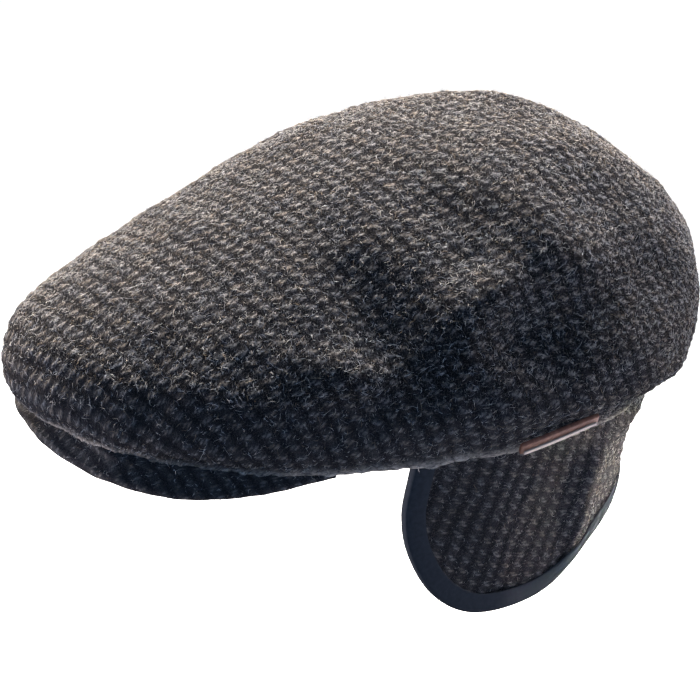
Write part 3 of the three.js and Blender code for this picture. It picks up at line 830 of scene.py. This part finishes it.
# Round the crown and up its levels, from the label's middle to its end
LABEL_TURN = (math.radians(6.7), 0.36)
LABEL_LEVEL_PER_MM = 0.051
LABEL_TILT = 0.35
PATCH = {"length": 34.5, "height": 4.2, "thickness": 1.4, "drop": 0, "soft": 0.5}


def label_place(along, up, out):
    """Points on the label: along it from its middle, up it, and out from the crown."""
    turned = along / (PATCH["length"] / 2)
    bearing = LABEL_BEARING + LABEL_TURN[0] * turned
    level = LABEL_LEVEL + LABEL_TURN[1] * turned + up * LABEL_LEVEL_PER_MM
    return crown(bearing, level, out + LABEL_TILT * (PATCH["height"] / 2 - up))


# How a label's end is rounded: steps in from the end, and how much of the rounding is left at each
END_STEPS = np.array([0, 0.3, 1])
END_ROUNDED = np.array([1, 0.3, 0])
END_LOWERED = 0.9
LABEL_STATIONS = 40
LABEL_ROWS = 9


def label_mesh(name, piece, lift):
    """A thin block on the crown with its edges rounded."""
    ends = piece["length"] / 2
    tall = piece["height"] / 2
    thick = piece["thickness"]
    soft = piece["soft"]
    base = [(-tall, 0), (0, 0), (tall, 0)]
    upper = [(tall - soft + soft * math.cos(angle), thick - soft + soft * math.sin(angle))
             for angle in np.radians([0, 30, 60, 90])]
    face = [(up, thick) for up in np.linspace(tall - soft, soft - tall, LABEL_ROWS)[1:-1]]
    lower = [(-up, out) for up, out in upper[::-1]]
    section = np.array(base + upper + face + lower)
    start = soft * END_STEPS - ends
    between = np.linspace(soft - ends, ends - soft, LABEL_STATIONS)[1:-1]
    stations = np.concatenate([start, between, -start[::-1]])
    rounded = np.concatenate([END_ROUNDED, np.zeros(len(between)), END_ROUNDED[::-1]])[:, None]
    along = np.broadcast_to(stations[:, None], (len(stations), len(section)))
    up = section[:, 0] * (1 - soft / tall * rounded) - piece["drop"]
    out = lift + np.minimum(section[:, 1], thick - soft * rounded * END_LOWERED)
    grid = label_place(along, up, out)
    flat = np.stack([along, up], -1)
    return cloth_mesh(name, grid, flat, ends=middles(grid, flat))


patch_piece = label_mesh("label_leather", PATCH, SEAM_GAP)

# Dyed leather: brown and half matt, with fine pores and a tone that varies along the strip
PORE = 0.625
TONE_PATCH = 20 / 7
material = leather = new_material("brown_leather")
cloth = add("UVMap", {}, uv_map="cloth")
pores = add("TexVoronoi", {"Vector": cloth, "Scale": 1 / PORE}, give="Distance")
tone = add("TexNoise", {"Vector": cloth, "Scale": 1 / TONE_PATCH, "Detail": 4.0}, give="Fac")
shade = add("ValToRGB", {"Fac": tone}, stops=[(0.3, "#4a2f25"), (0.55, "#5f3d30"), (0.75, "#75503f")])
crackle = add("Bump", {"Strength": 0.5, "Distance": 0.2 * MM, "Height": pores})
finish = add("BsdfPrincipled", {"Base Color": shade, "Roughness": 0.55, "Specular IOR Level": 0.12,
                                "Normal": crackle})
add("OutputMaterial", {"Surface": finish})
patch_piece.data.materials.append(leather)
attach(patch_piece, "root")
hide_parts("label_patch")

# Label plate
# A thin bare strip of steel along the lower half of the patch, a little shorter than the leather.
# It is stamped from sheet, brushed along its length, and fixed flat on the leather.

PLATE = {"length": 32, "height": 1.5, "thickness": 0.6, "drop": 1.1, "soft": 0.25}
plate_piece = label_mesh("label_metal", PLATE, 2 * SEAM_GAP + PATCH["thickness"])

# Brushed steel: a dull grey shine, drawn out by fine lines along the strip. Lines to the mm, along and across
BRUSH_LINES = (0.3, 9, 1)
material = metal = new_material("brushed_metal")
cloth = add("UVMap", {}, uv_map="cloth")
lines = add("VectorMath", {0: cloth, 1: BRUSH_LINES}, operation="MULTIPLY")
lines = add("TexNoise", {"Vector": lines, "Scale": 1.0, "Detail": 3.0}, give="Fac")
shade = add("ValToRGB", {"Fac": lines}, stops=[(0.3, "#5c5655"), (0.7, "#787170")])
brushed = add("Bump", {"Strength": 0.3, "Distance": 0.05 * MM, "Height": lines})
finish = add("BsdfPrincipled", {"Base Color": shade, "Roughness": 0.75, "Metallic": 1.0, "Normal": brushed})
add("OutputMaterial", {"Surface": finish})
plate_piece.data.materials.append(metal)
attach(plate_piece, "root")
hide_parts("label_plate")

# Camera, floor and light
# The camera stands where the photo's stood, worked out from the cap's outline, and the cap hangs over
# white paper. Most of the light comes from softboxes behind and above, with a little from the front.

IMAGE_PX = 700
SENSOR = 36
CAMERA = {"azimuth": 55.99, "elevation": 20.68, "roll": 6.21, "distance": 1.0, "focal_px": 2506}
TARGET = np.array([0, -0.02444, 0.0127])
azimuth, elevation, tilt = (math.radians(CAMERA[angle]) for angle in ("azimuth", "elevation", "roll"))
back = np.array([math.sin(azimuth) * math.cos(elevation),
                 -math.cos(azimuth) * math.cos(elevation),
                 math.sin(elevation)])
right = np.array([math.cos(azimuth), math.sin(azimuth), 0])
up = np.cross(back, right)
across = math.cos(tilt) * right + math.sin(tilt) * up
upright = math.cos(tilt) * up - math.sin(tilt) * right
stand = np.eye(4)
stand[:3] = np.stack([across, upright, back, TARGET + back * CAMERA["distance"]], 1)
lens = bpy.data.cameras.new("camera")
lens.lens = CAMERA["focal_px"] / IMAGE_PX * SENSOR
lens.sensor_width = SENSOR
camera = bpy.data.objects.new("camera", lens)
camera.matrix_world = Matrix(stand.tolist())
scene.collection.objects.link(camera)
scene.camera = camera
scene.view_settings.view_transform = "Standard"

FLOOR_HALF = 6
FLOOR_LEVEL = -0.9
floor_corners = [(FLOOR_HALF * x, FLOOR_HALF * y, FLOOR_LEVEL)
                 for x, y in ((-1, -1), (1, -1), (1, 1), (-1, 1))]
floor_mesh = bpy.data.meshes.new("floor")
floor_mesh.from_pydata(floor_corners, [], [(0, 1, 2, 3)])
floor = bpy.data.objects.new("floor", floor_mesh)
scene.collection.objects.link(floor)

# White paper: matt, and lit so evenly that it has no shade of its own
material = new_material("white_paper")
finish = add("BsdfPrincipled", {"Base Color": linear("#f4f4f4"), "Roughness": 1.0,
                                "Emission Color": linear("#ffffff"), "Emission Strength": 1.0})
add("OutputMaterial", {"Surface": finish})
floor_mesh.materials.append(material)
floor.visible_diffuse = False

world = bpy.data.worlds.new("studio")
scene.world = world
world.use_nodes = True
world.node_tree.nodes["Background"].inputs["Color"].default_value = linear("#ffffff")
world.cycles_visibility.diffuse = False


def softbox(name, place, aim, size, watts, colour, spread=180):
    """A square lamp at a place, turned to what it is aimed at."""
    data = bpy.data.lights.new(name, "AREA")
    data.shape = "RECTANGLE"
    data.size = data.size_y = size
    data.energy = watts
    data.spread = math.radians(spread)
    data.color = linear(colour)[:3]
    lamp = bpy.data.objects.new(name, data)
    direction = Vector(aim) - Vector(place)
    lamp.rotation_euler = direction.to_track_quat("-Z", "Y").to_euler()
    lamp.location = place
    scene.collection.objects.link(lamp)


def lamp_direction(bearing, rise):
    """Direction to a lamp, in degrees round from the camera's side by its right, and up."""
    bearing, rise = math.radians(bearing), math.radians(rise)
    level_back = unit(np.array([back[0], back[1], 0]))
    level = level_back * math.cos(bearing) + right * math.sin(bearing)
    return level * math.cos(rise) + np.array([0, 0, math.sin(rise)])


LAMP_DISTANCE = 1.4
LAMP_SIZE = 0.9
LAMP_AIM = (0, -0.02, 0.03)
LAMPS = [
    # name, bearing, rise, watts, colour
    ("rear", 180, 30, 140, "#fff0e2"),
    ("rear_left", 225, 45, 130, "#ffefd8"),
    ("rear_high", 180, 60, 102, "#e9f1ff"),
    ("rear_right", 135, 35, 50, "#fff2ef"),
    ("left_low", 270, -20, 68, "#f2efff"),
    ("right_low", 95, -25, 33, "#e8eaff"),
    ("front", 0, 20, 17, "#a5c9ff"),
]
for name, bearing, rise, watts, colour in LAMPS:
    place = lamp_direction(bearing, rise) * LAMP_DISTANCE
    softbox(name, tuple(place), LAMP_AIM, LAMP_SIZE, watts, colour)

# A small lamp grazes the flap's rear crease, which the hem would keep dark
SPOT = {"along": 88.0, "depth": 36.0, "bearing": 130, "rise": -10, "distance": 0.7,
        "size": 0.08, "watts": 0.33, "spread": 9}
lit = flap_wall(np.array([SPOT["along"]]), np.array([SPOT["depth"]]), np.array([0.0]))[0] * MM
place = lit + lamp_direction(SPOT["bearing"], SPOT["rise"]) * SPOT["distance"]
softbox("flap_spot", tuple(place), tuple(lit), SPOT["size"], SPOT["watts"], "#fff8f1", SPOT["spread"])
